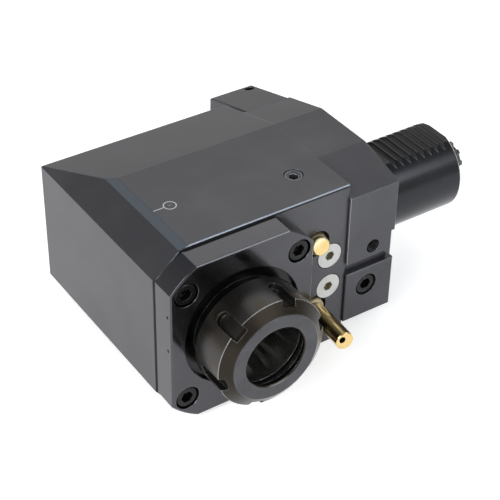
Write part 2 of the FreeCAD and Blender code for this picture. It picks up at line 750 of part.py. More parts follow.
def lockNut(outer, inner, start, direction, length):
    # Round nut with four spanner slots
    nut = tube(outer, inner, start, direction, length)
    for i in range(4):
        half = lockSlotHalf
        slot = box(-half, half, -half, half, -over, length + over)
        slot.translate(V(outer, 0, 0))
        slot.rotate(V(0, 0, 0), Z, 90 * i + 45)
        slot.Placement = FreeCAD.Placement(start, FreeCAD.Rotation(Z, direction)).multiply(slot.Placement)
        nut = nut.cut(slot)
    return nut


def tailNutStart():
    return tailBearingFront + tailBearing[2]


def tailEnd():
    return tailNutStart() + tailNutLength + tailOver


def coverScrewAxes(y):
    for sx in (-1, 1):
        for sz in (-1, 1):
            yield V(spindleX + sx * screwSpacing, y, sz * screwSpacing)


def capScrewAxes():
    for i in range(4):
        angle = math.radians(45 + 90 * i)
        yield V(spindleX + capScrewCircle * math.cos(angle), housingBack, capScrewCircle * math.sin(angle))


def countersunk(size, top, direction, length, land):
    # Screw with a flat conical head, its top at the place given and direction pointing out of it
    shankR, headR, _, flats = size
    profile = [(0.0, 0.0), (0.0, headR), (-land, headR), (-land - (headR - shankR), shankR),
               (-length, shankR), (-length, 0.0)]
    screw = turned(profile, top, direction)
    return screw.cut(hexPrism(flats, top - direction * (headR * socketFloor), direction, headR))


def makeRearCap():
    start = housingBack - capThickness
    cap = rod(capRadius - capPlay, V(spindleX, start, 0), Y, capThickness)
    rim = [e for e in cap.Edges if len(e.Vertexes) == 1 and e.CenterOfMass.y > housingBack - 1e-6]
    cap = cap.makeChamfer(capOuterChamfer, rim)
    cap = cap.fuse(tube(tailBearing[1], tailBearing[1] - capSpigotWall, V(spindleX, tailNutStart(), 0), Y,
                        start - tailNutStart() + over / 2))
    screws = []
    for place in capScrewAxes():
        screws.append(countersunk(capScrew, place, Y, capScrewDepth, capScrewLand))
        shankR, headR = capScrew[:2]
        hole = turned([(0.0, 0.0), (0.0, headR), (-capScrewLand, headR),
                       (-capScrewLand - headR + shankR, shankR), (-capScrewDepth, shankR),
                       (-capScrewDepth, 0.0)], place, Y)
        cap = cap.cut(hole)
    save("rear_cap", cap)
    save("rear_cap_screws", *screws)


def makeDriveLine():
    apex = V(spindleX, 0, 0)
    end = shankLength + driveProtrusion
    inner, outer, width = shankBearing
    nutStart = driveStackEnd
    pinionFace = spindleX + gearFrontFace
    shaftFace = pinionFace + pinionSetback
    profile = [(shaftFace, 0.0), (shaftFace, drivePinionSeat),
               (spindleX + gearHubFace, drivePinionSeat), (spindleX + gearHubFace, gearBearing[0]),
               (nutStart + driveNutLength, gearBearing[0]), (nutStart + driveNutLength, driveShaftRadius),
               (end - splineLength, driveShaftRadius), (end - splineLength, splineRoot),
               (end - splineChamfer, splineRoot), (end, splineRoot - splineChamfer), (end, 0.0)]
    shaft = turned(profile, V(0, 0, 0), X)
    teeth = []
    start, wide, narrow = end - splineLength, splineToothWidth / 2, splineToothWidth / 3
    low, high = splineRoot - splineSink, driveShaftRadius - splineTip
    for i in range(splineTeeth):
        section = [(start, -wide, low), (start, wide, low), (start, narrow, high), (start, -narrow, high)]
        tooth = prism(section, V(splineLength - splineChamfer, 0, 0))
        tooth.rotate(V(0, 0, 0), X, 360.0 * i / splineTeeth)
        teeth.append(tooth)
    shaft = shaft.fuse(teeth)
    shaft = shaft.cut(keySolid(X, -Y, drivePinionSeat, 0.0))
    shaft = shaft.cut(rod(pinionScrewStem, V(shaftFace - over, 0, 0), X, pinionScrewGrip + 2 * over))
    save("drive_shaft", shaft)
    save("drive_pinion", bevelGear(X, -Y, drivePinionSeat, 0.0))
    save("pinion_key", keySolid(X, -Y, drivePinionSeat, keyPlay))
    head = rod(pinionScrewHead, V(pinionFace - pinionScrewPlate, 0, 0), X, pinionScrewPlate)
    head = head.fuse(rod(pinionScrewStem, V(pinionFace - pinionScrewPlate, 0, 0), X,
                         pinionScrewPlate + pinionScrewGrip))
    socket = hexPrism(pinionScrewHex, V(pinionFace - pinionScrewPlate - over, 0, 0), X, pinionScrewHex)
    save("pinion_screw", head.cut(socket))
    outers, inners, shields = bearing(gearBearing, V(spindleX + gearHubFace, 0, 0), X, 2)
    save("drive_bearing_outer_rings", *outers)
    save("drive_bearing_inner_rings", *inners)
    save("drive_bearing_shields", *shields)
    save("drive_lock_nut", lockNut(driveNutRadius, gearBearing[0], V(nutStart, 0, 0), X,
                                   driveNutLength - lockNutPlay))
    outers, inners, shields = bearing(shankBearing, V(shankSeatStart, 0, 0), X, 1)
    save("shank_bearing_outer_ring", *outers)
    save("shank_bearing_inner_ring", *inners)
    save("shank_bearing_shields", *shields)
    ringStart = shankSeatStart + width
    circlip = tube(outer + circlipDepth, outer - circlipReach, V(ringStart, 0, 0), X, circlipWidth)
    opening = box(ringStart - over, ringStart + circlipWidth + over, -circlipGap, circlipGap, inner, far)
    save("retaining_ring", circlip.cut(opening))
    sealStart = ringStart + sealGap
    save("shaft_seal", turned(makeSealProfile(inner, outer, sealStart, sealStart + sealWidth), V(0, 0, 0), X))


def makeSealProfile(inner, outer, start, end):
    # Lip seal: a casing in the bore, a web at its outer face and a lip that leans in on the shaft
    casing, lip = outer - sealCasing, inner + sealPlay
    web = inner + sealWeb
    lipStart = end - 2 * sealWeb
    return [(start, outer), (start, casing), (lipStart, casing), (lipStart, web + sealWeb),
            (start + sealLip, lip), (start + 2 * sealLip, lip), (end - sealWeb, web), (end, web),
            (end, outer)]


def makeNut():
    centre = V(spindleX, 0, 0)
    nose = -Y
    wall = nutFront - nutWall
    pocket = clampRingOuter + nutPocketPlay
    pocketBack = wall - clampRingLength - 2 * clampRingPlay
    thread = noseRadius + nutThreadPlay
    profile = [(nutBack, nutRadius - nutBackChamfer), (nutBack + nutBackChamfer, nutRadius),
               (nutFront - nutChamferDepth, nutRadius), (nutFront, nutFaceRing),
               (nutFront, nutOpening + nutMouthChamfer), (nutFront - nutMouthChamfer, nutOpening),
               (nutFront - nutMouthChamfer - nutMouthLand, nutOpening), (wall, clampRingInner + nutMouthLand),
               (wall, pocket), (pocketBack, pocket), (pocketBack, thread), (nutBack, thread)]
    nut = turned(profile, centre, nose)
    slots = []
    for i in range(nutSlots):
        half = nutSlotWidth / 2
        back, high = -(nutSlotBack + half), nutRadius + slotOver
        slot = box(spindleX - half, spindleX + half, -nutFront - over, back, nutSlotFloor, high)
        slot = slot.fuse(rod(half, V(spindleX, back, nutSlotFloor), Z, high - nutSlotFloor))
        # A turn about +Y by an angle takes +Z towards +X, so the slot's own angle is 90 less it
        slot.rotate(centre, Y, 90 - (nutSlotPhase + 360.0 * i / nutSlots))
        slots.append(slot)
    nut = nut.cut(slots)
    save("collet_nut", nut)
    ringFront = wall - clampRingPlay
    ring = [(ringFront - clampRingLength, clampRingOuter), (ringFront, clampRingOuter),
            (ringFront, clampRingInner), (ringFront - clampRingLength, clampRingInner + clampRingTaper)]
    save("clamping_ring", turned(ring, centre, nose))


def nozzlePlace(sign):
    return V(-nozzleDistance, nozzleSink - housingFront, nozzleMiddle + sign * nozzleOffset)


def clampPlace(sign):
    return V(-clampDistance, -housingFront, nozzleMiddle + sign * clampOffset)


def makeNozzle(name, sign, length, tilt, swing, bored):
    # A ball with a tube, leaning by tilt from the housing's square in the way that swing points
    ball = nozzlePlace(sign)
    lean, way = math.radians(tilt), math.radians(swing)
    sideways = X * math.cos(way) + Z * math.sin(way)
    direction = -Y * math.cos(lean) + sideways * math.sin(lean)
    stem = rod(tubeRadius, ball, direction, length)
    tip = [e for e in stem.Edges if len(e.Vertexes) == 1
           and abs((e.CenterOfMass - ball).dot(direction) - length) < 1e-6]
    stem = stem.makeChamfer(nozzleRim, tip)
    nozzle = Part.makeSphere(ballRadius, ball).fuse(stem)
    nozzle = nozzle.cut(rod(ballRadius, ball - direction * ballFlat, -direction, ballRadius))
    if bored:
        offset = sideways * math.cos(lean) + Y * math.sin(lean)
        start = ball - direction * ballRadius + offset * nozzleBoreOffset
        nozzle = nozzle.cut(rod(nozzleBore, start, direction, length + ballRadius + over))
    save(name + "_nozzle", nozzle)
    front = ball.y + seatLip
    back = pocketDepth - housingFront
    seat = rod(pocketRadius - ballPlay, V(ball.x, front, ball.z), Y, back - front)
    seat = seat.cut(Part.makeSphere(ballRadius + ballPlay, ball))
    seat = seat.cut(rod(channelRadius, ball, Y, channelDepth))
    save(name + "_nozzle_seat", seat)


def makeFittings():
    size = (m6[0], clampScrewHead, 0.0, clampHex)
    clamps = [countersunk(size, clampPlace(sign), -Y, clampScrewLength, clampScrewLand) for sign in (1, -1)]
    save("nozzle_clamp_screws", *clamps)
    x, y = topPlugPlace
    top = housingTop - topPlugSink
    plug = rod(topPlugRadius, V(x, y, housingTop - plugLength), Z, plugLength - topPlugSink)
    rim = [e for e in plug.Edges if all(abs(v.Point.z - top) < 1e-6 for v in e.Vertexes)]
    mouth = Part.makeCone(topPlugHex / math.sqrt(3), topPlugMouth, topPlugMouthDepth,
                          V(x, y, top - topPlugMouthDepth), Z)
    plug = plug.makeChamfer(topPlugEdge, rim).cut(mouth)
    save("top_plug", plug.cut(hexPrism(topPlugHex, V(x, y, top - topPlugSocket), Z, topPlugSocket + over)))
    save("flange_seal", torus(sealMiddle, sealSection, V(-sealDepth + sealSection / 2, 0, 0), X))
    screws = []
    for y, z in flangeScrewPlaces:
        sunk = m6[2] + flangeScrewSink
        screws.append(socketScrew(m6, V(-sunk, y, z), X, flangeThickness - sunk + flangeScrewGrip))
    save("flange_screws", *screws)
    dowels = []
    for y, z in dowelPlaces:
        start = V(flangeLeft - dowelHalf + dowelPlay, y, z)
        dowels.append(rod(dowelRadius, start, X, 2 * (dowelHalf - dowelPlay)))
    save("dowel_pins", *dowels)
    y, z = inletPlace
    length = inletDepth - reliefDepth - inletSink
    bush = tube(inletRadius, inletRadius - inletWall, V(-inletDepth, y, z), X, length)
    save("coolant_inlet", bush)


os.makedirs("parts", exist_ok=True)
makeHousing()
makeShankFlange()
makeFrontBlock()
makeRearBlock()
makeCover()
makeSpindle()
makeRearCap()
makeDriveLine()
makeNut()
makeNozzle("lower", -1, longTube, longTilt, longSwing, True)
makeNozzle("upper", 1, shortTube, shortTilt, shortSwing, False)
makeFittings()
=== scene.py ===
import bpy
import bmesh
import math
from mathutils import Matrix, Vector


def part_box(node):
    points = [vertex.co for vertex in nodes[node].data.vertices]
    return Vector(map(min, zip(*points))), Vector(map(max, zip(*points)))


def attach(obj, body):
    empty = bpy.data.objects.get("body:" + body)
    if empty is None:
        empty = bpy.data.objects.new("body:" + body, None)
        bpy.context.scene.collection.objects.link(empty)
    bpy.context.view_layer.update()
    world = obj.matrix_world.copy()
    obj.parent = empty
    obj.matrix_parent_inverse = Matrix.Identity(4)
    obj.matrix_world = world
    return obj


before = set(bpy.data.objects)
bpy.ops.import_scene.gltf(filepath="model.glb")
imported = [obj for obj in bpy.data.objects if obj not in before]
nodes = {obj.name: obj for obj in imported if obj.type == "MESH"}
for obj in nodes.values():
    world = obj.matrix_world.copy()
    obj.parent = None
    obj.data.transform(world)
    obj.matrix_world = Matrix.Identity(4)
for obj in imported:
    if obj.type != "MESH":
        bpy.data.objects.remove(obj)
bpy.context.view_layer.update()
mm = 0.001
print("frame loaded:", len(nodes), "nodes")


# Places that the looks share, in metres
spindleX = -0.085
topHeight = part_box("housing")[1].z
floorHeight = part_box("housing")[0].z
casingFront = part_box("nozzle_clamp_screws")[0].y
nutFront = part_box("collet_nut")[0].y


# Shader maths

class Signal:
    # A value that varies over a surface; its sums and products add nodes

    def __init__(self, paint, socket):
        self.paint = paint
        self.socket = socket

    def combine(self, operation, *others):
        return self.paint.node("ShaderNodeMath", {"operation": operation}, (self,) + others)

    def __add__(self, other):
        return self.combine("ADD", other)

    def __radd__(self, other):
        return self.combine("ADD", other)

    def __sub__(self, other):
        return self.combine("SUBTRACT", other)

    def __rsub__(self, other):
        return self.paint.node("ShaderNodeMath", {"operation": "SUBTRACT"}, (other, self))

    def __mul__(self, other):
        return self.combine("MULTIPLY", other)

    def __rmul__(self, other):
        return self.combine("MULTIPLY", other)

    def power(self, exponent):
        return self.combine("POWER", exponent)

    def size(self):
        return self.combine("ABSOLUTE")

    def larger(self, other):
        return self.combine("MAXIMUM", other)

    def diagonal(self, other):
        # The distance from where both are 0
        return (self * self + other * other).power(0.5)

    def above(self, low, high):
        # 0 at low, 1 at high, smooth between
        settings = {"interpolation_type": "SMOOTHSTEP"}
        values = {"Value": self, "From Min": low, "From Max": high}
        return self.paint.node("ShaderNodeMapRange", settings, values)

    def below(self, low, high):
        # 1 at low, 0 at high, smooth between
        return 1.0 - self.above(low, high)

    def within(self, middle, half, soft):
        # 1 inside a band about middle, 0 outside it
        return (self - middle).size().below(half, half + soft)


class Paint:
    # The node tree of a material or of the world

    edgeRamp = (0.012, 0.13)
    edgeSamples = 6

    def __init__(self, owner):
        owner.use_nodes = True
        self.tree = owner.node_tree

    def node(self, kind, settings=None, values=(), output=0):
        made = self.tree.nodes.new(kind)
        for key, value in (settings or {}).items():
            setattr(made, key, value)
        pairs = values.items() if isinstance(values, dict) else enumerate(values)
        for key, value in pairs:
            self.plug(made.inputs[key], value)
        return Signal(self, made.outputs[output])

    def plug(self, socket, value):
        if isinstance(value, Signal):
            self.tree.links.new(value.socket, socket)
        else:
            socket.default_value = value

    def place(self, turn=(0, 0, 0), scale=(1, 1, 1), centre=(0, 0, 0)):
        # Object coordinates in millimetres, moved to centre and then turned and scaled
        spot = self.node("ShaderNodeTexCoord", output=3)
        moved = self.node("ShaderNodeVectorMath", {"operation": "SUBTRACT"}, (spot, centre))
        size = [1000 * value for value in scale]
        return self.node("ShaderNodeMapping", {}, {"Vector": moved, "Rotation": turn, "Scale": size})

    def split(self, spot):
        first = self.node("ShaderNodeSeparateXYZ", {}, (spot,))
        return [Signal(self, socket) for socket in first.socket.node.outputs]

    def noise(self, spot, size, detail, rough):
        values = {"Vector": spot, "Scale": 1 / size, "Detail": detail, "Roughness": rough}
        return self.node("ShaderNodeTexNoise", {}, values)

    def lathe(self, axis, centre):
        # Turned surfaces: (distance from the axis, distance along it) as a coordinate
        x, y, z = self.split(self.place(centre=centre))
        along, first, second = {"X": (x, y, z), "Y": (y, x, z), "Z": (z, x, y)}[axis]
        return self.node("ShaderNodeCombineXYZ", {}, (first.diagonal(second), along, 0.0))

    def mix(self, share, low, high):
        low, high = (side if isinstance(side, Signal) else side + (1.0,) for side in (low, high))
        return self.node("ShaderNodeMix", {"data_type": "RGBA"}, {0: share, 6: low, 7: high}, output=2)

    def edges(self, radius):
        # How far a point is on a rounded edge, 0 on flats, and the rounded normal itself
        rounded = self.node("ShaderNodeBevel", {"samples": self.edgeSamples}, {"Radius": radius * mm})
        flat = self.node("ShaderNodeNewGeometry", output=3)
        same = self.node("ShaderNodeVectorMath", {"operation": "DOT_PRODUCT"}, (rounded, flat), "Value")
        return (1.0 - same).above(*self.edgeRamp), rounded

    def bump(self, height, depth, normal=None):
        values = {"Height": height, "Strength": 1.0, "Distance": depth * mm}
        if normal is not None:
            values["Normal"] = normal
        return self.node("ShaderNodeBump", {}, values)

    def finish(self, colour, roughness, metallic, normal):
        shader = self.tree.nodes["Principled BSDF"]
        for name, value in (("Base Color", colour), ("Roughness", roughness), ("Metallic", metallic),
                            ("Normal", normal)):
            self.plug(shader.inputs[name], value)


# Finishes

def oxideSteel(look, marks=None):
    # Ground steel, blackened: fine grinding lines, faint clouds, edges rubbed a little lighter
    material = bpy.data.materials.new(look["name"])
    paint = Paint(material)
    grain = paint.place(turn=look["grainTurn"], scale=look["grainScale"])
    lines = paint.noise(grain, size=1.0, detail=4.0, rough=0.7)
    clouds = paint.noise(paint.place(), size=look["cloudSize"], detail=3.0, rough=0.5)
    specks = paint.noise(paint.place(), size=0.5, detail=2.0, rough=0.6)
    worn, rounded = paint.edges(look["edgeRadius"])
    even = look["evenWear"]
    rubbed = worn * (even + (1.0 - even) * clouds) * look["edgeWear"]
    colour = paint.mix(clouds.above(*look["cloudRamp"]), look["dark"], look["light"])
    colour = paint.mix(lines.above(*look["lineRamp"]) * look["lineShare"], colour, look["line"])
    colour = paint.mix(specks.above(*look["speckRamp"]) * look["speckShare"], colour, look["dark"])
    colour = paint.mix(rubbed, colour, look["edge"])
    roughness = look["roughness"] + (lines - 0.5) * look["lineRough"] + (clouds - 0.5) * look["cloudRough"]
    roughness = roughness - rubbed * look["edgeSmooth"]
    if marks:
        colour, roughness = marks(paint, colour, roughness)
    height = lines * (1.0 - look["speckHeight"]) + specks * look["speckHeight"]
    paint.finish(colour, roughness, look["metallic"], paint.bump(height, look["depth"], rounded))
    return material


def turnedSteel(look, marks=None):
    # Lathe-turned surface: rings about the piece's axis, broken up by faint clouds
    material = bpy.data.materials.new(look["name"])
    paint = Paint(material)
    around = paint.lathe(look["axis"], look["centre"])
    rings = paint.noise(around, size=look["ringSize"], detail=4.0, rough=0.65)
    clouds = paint.noise(paint.place(), size=look["cloudSize"], detail=3.0, rough=0.5)
    worn, rounded = paint.edges(look["edgeRadius"])
    even = look["evenWear"]
    rubbed = worn * (even + (1.0 - even) * clouds) * look["edgeWear"]
    colour = paint.mix(clouds.above(*look["cloudRamp"]), look["dark"], look["light"])
    colour = paint.mix(rings.above(*look["lineRamp"]) * look["ringShare"], colour, look["line"])
    colour = paint.mix(rubbed, colour, look["edge"])
    roughness = look["roughness"] + (rings - 0.5) * look["lineRough"] + (clouds - 0.5) * look["cloudRough"]
    if marks:
        colour, roughness = marks(paint, colour, roughness)
    paint.finish(colour, roughness, look["metallic"], paint.bump(rings, look["depth"], rounded))
    return material


def sealRubber(look):
    # Matt black rubber with a faint grey bloom
    material = bpy.data.materials.new(look["name"])
    paint = Paint(material)
    grain = paint.noise(paint.place(), size=look["grainSize"], detail=3.0, rough=0.6)
    bloom = paint.noise(paint.place(), size=look["bloomSize"], detail=2.0, rough=0.5)
    colour = paint.mix(bloom.above(*look["bloomRamp"]) * look["bloomShare"], look["dark"], look["light"])
    roughness = look["roughness"] + (grain - 0.5) * look["grainRough"]
    paint.finish(colour, roughness, 0.0, paint.bump(grain, look["depth"]))
    return material


# Marks that lie on one piece alone. Places are in millimetres; a pair is where a ramp starts and ends,
# and three numbers are a band's middle, its half width and its soft edge.

def datumMark(paint, colour, roughness):
    # Etched ring with a leader line on the housing's top
    look = {
        "colour": (0.50, 0.53, 0.53),
        "share": 0.95,
        "rough": 0.2,
        "middle": (-95.5, -11.7),
        "ring": (2.6, 0.17, 0.14),
        "leaderLine": (-11.75, 0.17, 0.14),
        "leaderRun": (-100.65, 2.55, 0.14),
        "tickLine": (0.0, 0.08, 0.1),
        "tickRun": (0.0, 0.55, 0.1),
        "tickShare": 0.6,
        "top": (topHeight / mm - 0.2, topHeight / mm - 0.1),
    }
    x, y, z = paint.split(paint.place())
    across, up = x - look["middle"][0], y - look["middle"][1]
    ring = across.diagonal(up).within(*look["ring"])
    leader = y.within(*look["leaderLine"]) * x.within(*look["leaderRun"])
    tick = across.within(*look["tickRun"]) * up.within(*look["tickLine"]) * look["tickShare"]
    mark = ring.larger(leader).larger(tick) * z.above(*look["top"]) * look["share"]
    return paint.mix(mark, colour, look["colour"]), roughness + mark * look["rough"]


def cornerGrime(paint, colour):
    # Painted shade darkens the housing's corners above the cover and beside it
    look = {
        "oil": (0.008, 0.008, 0.009),
        "share": 0.85,
        "front": (-38.4, -38.2),
        "ledge": (38.4, 38.7),
        "ledgeTop": (39.4, 39.6),
        "left": (-118.2, -117.9),
        "leftFront": (-37.3, -37.0),
    }
    x, y, z = paint.split(paint.place())
    above = z.above(*look["ledge"]) * z.below(*look["ledgeTop"]) * y.below(*look["front"])
    beside = x.below(*look["left"]) * y.below(*look["leftFront"])
    # The near-black oil colour here is painted shade, laid into the corners where the gap falls in shadow
    return paint.mix(above.larger(beside) * look["share"], colour, look["oil"])


def frontEdges(paint, colour):
    # The housing's long front edge carries a painted highlight, and the narrow chamfer on its left a bluer
    # painted reflection tint
    look = {
        "lip": (0.24, 0.265, 0.31),
        "lipShare": 0.8,
        "lipHeight": (39.42, 39.5),
        "lipFront": (-38.08, -37.98),
        "strip": (0.055, 0.068, 0.084),
        "stripShare": 0.8,
        "stripHeight": (39.3, 0.42, 0.08),
        "stripLeft": (-103.4, -103.2),
        "stripFront": (-38.4, -38.2),
    }
    x, y, z = paint.split(paint.place())
    # Painted highlight along the front top edge, and a painted bluish reflection tint on the left chamfer
    # strip
    lip = z.above(*look["lipHeight"]) * y.below(*look["lipFront"])
    strip = z.within(*look["stripHeight"]) * x.below(*look["stripLeft"]) * y.above(*look["stripFront"])
    colour = paint.mix(strip * look["stripShare"], colour, look["strip"])
    return paint.mix(lip * look["lipShare"], colour, look["lip"])


def housingMarks(paint, colour, roughness):
    return datumMark(paint, frontEdges(paint, cornerGrime(paint, colour)), roughness)


def shankZone(paint, colour, roughness):
    # The shank is darker and smoother than the flange. Its tooth crests are darkened with painted shade and
    # its grooves lightened with painted light.
    # The part of the flange's left side that stands in front of the housing is painted lighter, a painted
    # highlight.
    look = {
        "dark": (0.026, 0.027, 0.031),
        "rub": (0.050, 0.052, 0.057),
        "rubShare": 0.5,
        "rubRamp": (0.55, 0.75),
        "crest": (0.020, 0.020, 0.021),
        "crestHeight": (17.55, 17.7),
        "groove": (0.13, 0.13, 0.13),
        "grooveHeight": (14.0, 15.0),
        "inside": (19.5, 19.8),
        "start": (0.2, 0.5),
        "share": 0.94,
        "smooth": 0.12,
        "side": (0.36, 0.36, 0.38),
        "sideLeft": (-25.3, -25.1),
        "sideFront": (-39.1, -38.9),
    }
    x, y, z = paint.split(paint.place())
    inside = y.diagonal(z).below(*look["inside"])
    shank = x.above(*look["start"])
    streaks = paint.noise(paint.place(scale=(0.25, 1.5, 1.5)), size=1.0, detail=4.0, rough=0.65)
    dark = paint.mix(streaks.above(*look["rubRamp"]) * look["rubShare"], look["dark"], look["rub"])
    # Painted light: the groove walls are made lighter where occlusion shades them
    dark = paint.mix(inside * z.above(*look["grooveHeight"]), dark, look["groove"])
    # Painted shade: the crests are made darker against the sky that they reflect
    dark = paint.mix(inside * z.above(*look["crestHeight"]), dark, look["crest"])
    # Painted highlight: the flange's narrow left side face in front of the housing is lightened beyond its
    # shade
    side = x.below(*look["sideLeft"]) * y.below(*look["sideFront"])
    colour = paint.mix(side, colour, look["side"])
    return paint.mix(shank * look["share"], colour, dark), roughness - shank * look["smooth"]


def nutZone(paint, colour, roughness):
    # The nut's flat face keeps the finish; its barrel is browner, and the chamfer between them nearly black.
    # A painted highlight runs round the chamfer's outer rim.
    look = {
        "barrel": (0.054, 0.052, 0.050),
        "brown": (0.052, 0.045, 0.037),
        "brownRamp": (0.4, 0.65),
        "chamfer": (0.026, 0.021, 0.016),
        "edgeRadius": 0.35,
        "edgeShare": 0.6,
        "face": (0.1, 0.4),
        "rim": (0.34, 0.34, 0.34),
        "rimShare": 0.7,
        "rimPlace": 3.6,
        "chamferRamp": (3.5, 3.7),
        "rimHalf": 0.07,
        "rimSoft": 0.12,
        "outside": (24.5, 24.7),
    }
    x, y, z = paint.split(paint.place())
    depth = y - nutFront / mm
    smears = paint.noise(paint.place(scale=(1, 0.4, 1)), size=7.0, detail=3.0, rough=0.6)
    worn = paint.edges(look["edgeRadius"])[0]
    shade = paint.mix(smears.above(*look["brownRamp"]), look["barrel"], look["brown"])
    shade = paint.mix(depth.below(*look["chamferRamp"]), shade, look["chamfer"])
    colour = paint.mix(depth.above(*look["face"]) * (1.0 - worn * look["edgeShare"]), colour, shade)
    outside = (x - spindleX / mm).diagonal(z).above(*look["outside"])
    # Painted highlight: a thin bright band round the chamfer's outer rim
    rim = depth.within(look["rimPlace"], look["rimHalf"], look["rimSoft"]) * outside
    return paint.mix(rim * look["rimShare"], colour, look["rim"]), roughness


def boreStreaks(paint, colour, roughness):
    # Bright lengthwise streaks on the cone: painted reflections
    look = {"polished": (0.78, 0.77, 0.72), "share": 0.9, "rough": 0.12, "streakRamp": (0.5, 0.62),
            "depth": (2.0, 9.0)}
    across = paint.place(centre=(spindleX, 0, 0), scale=(0.2, 0.012, 0.2))
    streaks = paint.noise(across, size=1.0, detail=2.0, rough=0.45)
    depth = paint.split(paint.place())[1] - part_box("spindle")[0].y / mm
    # Painted reflection: bright streaks along the cone, fading towards the mouth
    share = streaks.above(*look["streakRamp"]) * depth.above(*look["depth"]) * look["share"]
    return paint.mix(share, colour, look["polished"]), roughness + share * look["rough"]


def ballZone(paint, colour, roughness):
    # The nozzles' balls are rougher than their tubes and painted brighter: painted light on the balls in
    # their seats
    look = {"sheen": (0.98, 0.86, 0.56), "share": 0.8, "rough": 0.22, "back": (-42.6, -41.8)}
    ball = paint.split(paint.place())[1].above(*look["back"])
    # Painted light: the ball's colour is raised to a brighter gold
    return paint.mix(ball * look["share"], colour, look["sheen"]), roughness + ball * look["rough"]


def socketZone(paint, colour, roughness):
    # Below their faces the plated screws' sockets are dark with oil
    look = {"oil": (0.36, 0.34, 0.24), "depth": (0.3, 0.6), "smooth": 0.1}
    depth = paint.split(paint.place())[1] - casingFront / mm
    deep = depth.above(*look["depth"])
    return paint.mix(deep, colour, look["oil"]), roughness - deep * look["smooth"]


# Looks: colours are linear, sizes and depths in millimetres, centres in metres

housingLook = {
    "name": "housingOxide",
    "dark": (0.064, 0.064, 0.071),
    "light": (0.080, 0.080, 0.087),
    "line": (0.105, 0.105, 0.112),
    "edge": (0.26, 0.28, 0.32),
    "grainTurn": (0, 0, 0),
    "grainScale": (0.15, 4.0, 4.0),
    "lineRamp": (0.35, 0.8),
    "lineShare": 0.25,
    "lineRough": 0.12,
    "cloudSize": 26.0,
    "cloudRamp": (0.35, 0.7),
    "cloudRough": 0.10,
    "speckRamp": (0.68, 0.78),
    "speckShare": 0.25,
    "speckHeight": 0.4,
    "edgeRadius": 0.45,
    "edgeWear": 0.7,
    "evenWear": 0.45,
    "edgeSmooth": 0.08,
    "roughness": 0.34,
    "metallic": 0.78,
    "depth": 0.004,
}
coverLook = dict(housingLook, name="coverOxide", roughness=0.15, cloudSize=34.0, grainScale=(4.0, 4.0, 0.2),
                 dark=(0.068, 0.068, 0.074), light=(0.079, 0.079, 0.086), line=(0.10, 0.10, 0.107),
                 edgeRadius=0.4, depth=0.0012, metallic=0.97, cloudRough=0.06, edge=(0.20, 0.215, 0.24))
flangeLook = dict(housingLook, name="flangeOxide", grainScale=(4.0, 0.15, 4.0), roughness=0.36)
blockLook = dict(housingLook, name="blockOxide", grainScale=(4.0, 4.0, 0.15), roughness=0.36,
                 dark=(0.054, 0.054, 0.060), light=(0.066, 0.066, 0.073))
screwLook = {
    "name": "screwOxide",
    "axis": "Y",
    "centre": (0, 0, 0),
    "dark": (0.010, 0.010, 0.010),
    "light": (0.017, 0.017, 0.017),
    "line": (0.045, 0.045, 0.045),
    "edge": (0.20, 0.20, 0.21),
    "ringSize": 0.4,
    "ringShare": 0.3,
    "lineRamp": (0.4, 0.75),
    "lineRough": 0.16,
    "cloudSize": 9.0,
    "cloudRamp": (0.3, 0.7),
    "cloudRough": 0.08,
    "edgeRadius": 0.2,
    "edgeWear": 0.6,
    "evenWear": 0.4,
    "roughness": 0.26,
    "metallic": 0.8,
    "depth": 0.004,
}
plugLook = dict(screwLook, name="plugOxide", axis="Z", centre=(-0.0411, -0.0203, 0),
                dark=(0.105, 0.107, 0.112), light=(0.14, 0.142, 0.148), line=(0.18, 0.18, 0.186),
                edge=(0.7, 0.72, 0.76), roughness=0.3)
nutLook = dict(screwLook, name="nutOxide", centre=(spindleX, 0, 0), dark=(0.060, 0.060, 0.065),
               light=(0.076, 0.076, 0.081), line=(0.095, 0.095, 0.10), edge=(0.40, 0.40, 0.41), ringSize=0.25,
               edgeRadius=0.25, edgeWear=0.6, roughness=0.27, metallic=0.9, depth=0.003)
ringLook = dict(nutLook, name="ringOxide", dark=(0.05, 0.05, 0.05), light=(0.07, 0.07, 0.07), roughness=0.22)
labyrinthLook = dict(nutLook, name="labyrinthOxide", dark=(0.018, 0.018, 0.019), light=(0.026, 0.026, 0.027),
                     line=(0.04, 0.04, 0.041), edge=(0.16, 0.16, 0.17), roughness=0.22)
boreLook = dict(screwLook, name="groundSteel", centre=(spindleX, 0, 0), dark=(0.15, 0.15, 0.14),
                light=(0.20, 0.20, 0.19), line=(0.26, 0.26, 0.25), edge=(0.5, 0.5, 0.5), ringSize=0.3,
                roughness=0.26, metallic=0.95, depth=0.003)
shaftLook = dict(boreLook, name="shaftSteel", axis="X", centre=(0, 0, 0), dark=(0.085, 0.085, 0.072),
                 light=(0.12, 0.12, 0.10), line=(0.17, 0.17, 0.15), edge=(0.3, 0.3, 0.28), roughness=0.3)
bearingLook = dict(boreLook, name="bearingSteel", dark=(0.5, 0.5, 0.5), light=(0.6, 0.6, 0.6),
                   line=(0.68, 0.68, 0.68), edge=(0.8, 0.8, 0.8), roughness=0.16)
brassLook = dict(screwLook, name="turnedBrass", dark=(0.64, 0.46, 0.18), light=(0.72, 0.54, 0.25),
                 line=(0.80, 0.65, 0.35), edge=(0.95, 0.84, 0.55), ringSize=0.35, roughness=0.2, metallic=1.0,
                 depth=0.004, edgeRadius=0.15)
zincLook = dict(screwLook, name="zincPlate", dark=(0.46, 0.46, 0.45), light=(0.53, 0.53, 0.52),
                line=(0.60, 0.60, 0.59), edge=(0.72, 0.72, 0.70), ringSize=0.5, roughness=0.46, metallic=0.8,
                depth=0.006, edgeRadius=0.15, edgeWear=0.3)
rubberLook = {
    "name": "sealRubber",
    "dark": (0.012, 0.012, 0.012),
    "light": (0.03, 0.03, 0.03),
    "grainSize": 0.35,
    "grainRough": 0.2,
    "bloomSize": 4.0,
    "bloomRamp": (0.4, 0.75),
    "bloomShare": 0.5,
    "roughness": 0.55,
    "depth": 0.02,
}

